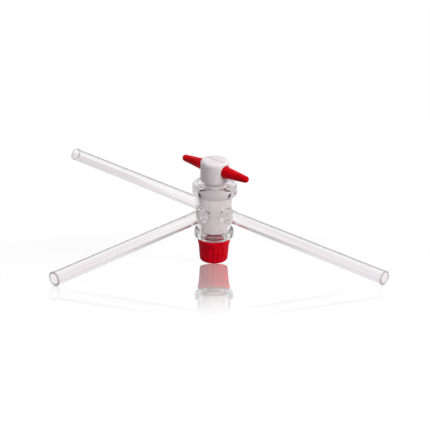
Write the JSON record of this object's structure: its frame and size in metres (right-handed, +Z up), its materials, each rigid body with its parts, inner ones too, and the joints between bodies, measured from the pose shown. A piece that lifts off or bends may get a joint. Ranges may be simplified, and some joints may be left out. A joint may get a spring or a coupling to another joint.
{
  "type": "glass stopcock",
  "caption": "T-shaped glass stopcock with equal side arms, a tapered white key with a red T-handle, and a fluted lock nut.",
  "frame": {"origin": "on the table under the point where the axes of the three arms cross, which is the middle of the resting part's footprint", "axes": "+Z up from the table; +X from the side of arms A and C towards the side of arm B; -Y towards the viewer. The part rests on the tips of arms A and B and on the nut's lower edge, so the barrel leans towards -Y"},
  "size_m": [0.1864, 0.1768, 0.0674],
  "materials": {
    "clear_glass": "clear, fire-polished, with a ground tapered seat",
    "white_key": "white fluoropolymer, waxy, turned",
    "red_handle": "moulded, smooth",
    "washer_plastic": "dark red, stamped",
    "seal_rubber": "black, slightly matt",
    "red_nut": "moulded, fluted grip"
  },
  "bodies": {
    "glass_body": {"glass_body": "clear_glass"},
    "key": {"key": "white_key", "handle": "red_handle"},
    "washer": {"washer": "washer_plastic", "seal_ring": "seal_rubber"},
    "nut": {"nut": "red_nut"}
  },
  "joints": [
    {"name": "key_turn", "type": "hinge", "parent": "glass_body", "child": "key", "pos_m": [0, 0, 0.03371], "axis": [0, -0.3287, 0.9444], "continuous": true},
    {"name": "washer_slide", "type": "slide", "parent": "key", "child": "washer", "axis": [0, 0.3287, -0.9444], "range_m": [0, 0.00125]},
    {"name": "nut_turn", "type": "hinge", "parent": "washer", "child": "nut", "pos_m": [0, 0, 0.03371], "axis": [0, 0.3287, -0.9444], "range_deg": [0, 360]}
  ],
  "couplings": [
    {"joint": "washer_slide", "follows": "nut_turn", "m_per_rad": 0.00019894}
  ]
}
